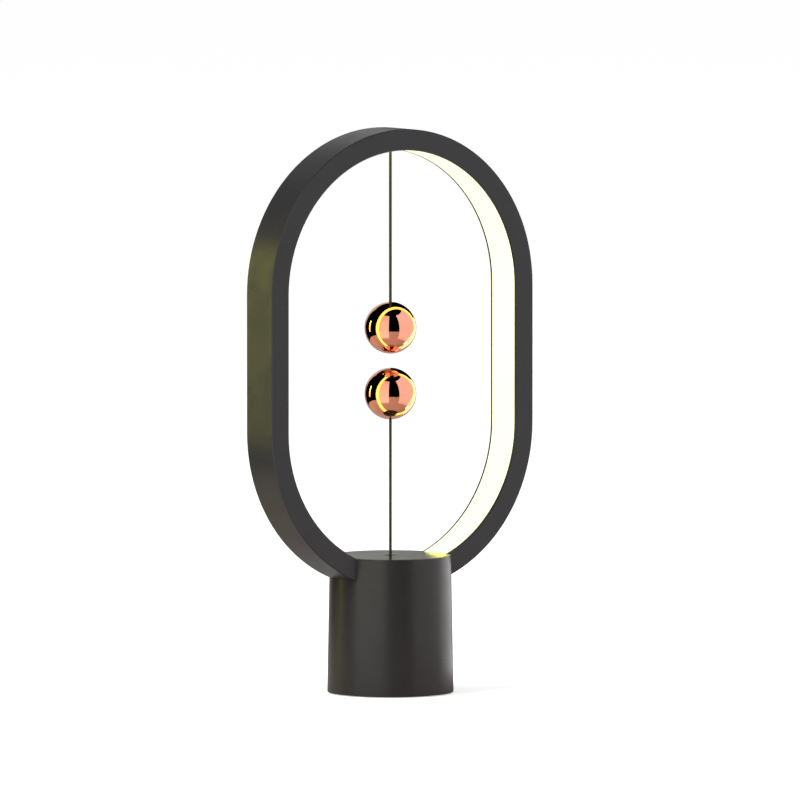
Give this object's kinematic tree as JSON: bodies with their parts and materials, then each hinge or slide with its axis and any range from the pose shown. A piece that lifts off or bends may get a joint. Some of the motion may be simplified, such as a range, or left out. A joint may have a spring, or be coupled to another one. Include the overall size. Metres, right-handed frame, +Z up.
{
  "type": "magnetic balance lamp",
  "caption": "Oval light ring on a round base, lit by drawing together two magnetic balls that hang from and are tied to cords inside the ring.",
  "frame": {"origin": "centre of the base's footprint, on the surface that the lamp stands on", "axes": "+Z up, +X to the right across the ring's width, -Y towards the ring's front"},
  "size_m": [0.1366, 0.0536, 0.2399],
  "materials": {
    "ring_plastic": "satin",
    "base_plastic": "satin",
    "diffuser_plastic": "matte",
    "strip_film": "satin",
    "led_phosphor": "satin",
    "white_plastic": "satin",
    "eyelet_metal": "satin",
    "dark_eyelet": "satin",
    "cord_braid": "matte",
    "copper_plate": "polished",
    "magnet_nickel": "satin",
    "screw_steel": "satin",
    "slider_nylon": "satin",
    "spring_steel": "satin",
    "switch_black": "satin",
    "switch_red": "satin",
    "tag_brass": "satin",
    "board_green": "satin",
    "socket_steel": "satin",
    "ferrite": "matte",
    "can_aluminium": "satin",
    "plug_nylon": "satin",
    "wire_red": "satin",
    "wire_black": "satin",
    "wire_white": "satin",
    "weight_steel": "satin",
    "cover_plastic": "satin",
    "pad_rubber": "matte"
  },
  "bodies": {
    "root": {"frame_shell": "ring_plastic", "frame_back_cover": "ring_plastic", "light_diffuser": "diffuser_plastic", "led_strip": "strip_film", "led_chips": "led_phosphor", "led_resistors": "switch_black", "cord_anchor": "white_plastic", "upper_eyelet": "eyelet_metal", "upper_cord_stub": "cord_braid", "base_housing": "base_plastic", "base_cap": "base_plastic", "lower_eyelet": "dark_eyelet", "frame_screws": "screw_steel", "cap_screws": "screw_steel", "return_spring": "spring_steel", "switch_bracket": "white_plastic", "bracket_screws": "screw_steel", "switch_case": "switch_black", "switch_tags": "tag_brass", "switch_screws": "screw_steel", "main_board": "board_green", "usb_socket": "socket_steel", "usb_contacts": "switch_black", "driver_chip": "switch_black", "power_inductor": "ferrite", "capacitors": "can_aluminium", "board_resistors": "switch_black", "wire_plugs": "plug_nylon", "led_wire_plus": "wire_red", "led_wire_minus": "wire_black", "switch_wire_in": "wire_white", "switch_wire_out": "wire_white", "board_screws": "screw_steel", "steel_weight": "weight_steel", "weight_screws": "screw_steel", "bottom_cover": "cover_plastic", "cover_screws": "screw_steel", "foot_pad": "pad_rubber"},
    "upper_bend": {"upper_cord_bend": "cord_braid"},
    "upper_ball": {"upper_cord": "cord_braid", "upper_ball_cord_half": "copper_plate", "upper_ball_magnet_half": "copper_plate", "upper_ball_washer": "eyelet_metal", "upper_magnet": "magnet_nickel", "upper_magnet_cup": "white_plastic"},
    "slider": {"pull_slider": "slider_nylon", "lower_cord_tail": "cord_braid"},
    "lower_bend": {"lower_cord_bend": "cord_braid"},
    "lower_ball": {"lower_cord": "cord_braid", "lower_ball_cord_half": "copper_plate", "lower_ball_magnet_half": "copper_plate", "lower_ball_washer": "eyelet_metal", "lower_magnet": "magnet_nickel", "lower_magnet_cup": "white_plastic"},
    "lever": {"switch_lever": "spring_steel"},
    "plunger": {"switch_plunger": "switch_red"}
  },
  "joints": [
    {"name": "upper_side_swing", "type": "hinge", "parent": "root", "child": "upper_bend", "pos_m": [0, 0, 0.23055], "axis": [0, 1, 0], "range_deg": [-38, 38]},
    {"name": "upper_front_swing", "type": "hinge", "parent": "upper_bend", "child": "upper_ball", "pos_m": [0, 0, 0.23055], "axis": [1, 0, 0], "range_deg": [-45, 45]},
    {"name": "cord_pull", "type": "slide", "parent": "root", "child": "slider", "axis": [0, 0, 1], "range_m": [-0.0015, 0], "stiffness_N_per_m": 100, "springref_m": 0.004, "deforming": ["return_spring"]},
    {"name": "lower_side_swing", "type": "hinge", "parent": "slider", "child": "lower_bend", "pos_m": [0, 0, 0.06045], "axis": [0, 1, 0], "range_deg": [-42, 42], "stiffness_Nm_per_rad": 0.03},
    {"name": "lower_front_swing", "type": "hinge", "parent": "lower_bend", "child": "lower_ball", "pos_m": [0, 0, 0.06045], "axis": [1, 0, 0], "range_deg": [-75, 75], "stiffness_Nm_per_rad": 0.03},
    {"name": "lever_turn", "type": "hinge", "parent": "root", "child": "lever", "pos_m": [0.0186, 0, 0.033], "axis": [0, 1, 0], "range_deg": [-8.5, 0]},
    {"name": "plunger_press", "type": "slide", "parent": "root", "child": "plunger", "axis": [0, 0, 1], "range_m": [-0.0005, 0]}
  ],
  "couplings": [
    {"joint": "lever_turn", "follows": "cord_pull", "rad_per_m": 98.039},
    {"joint": "plunger_press", "follows": "cord_pull", "ratio": 0.2941}
  ]
}
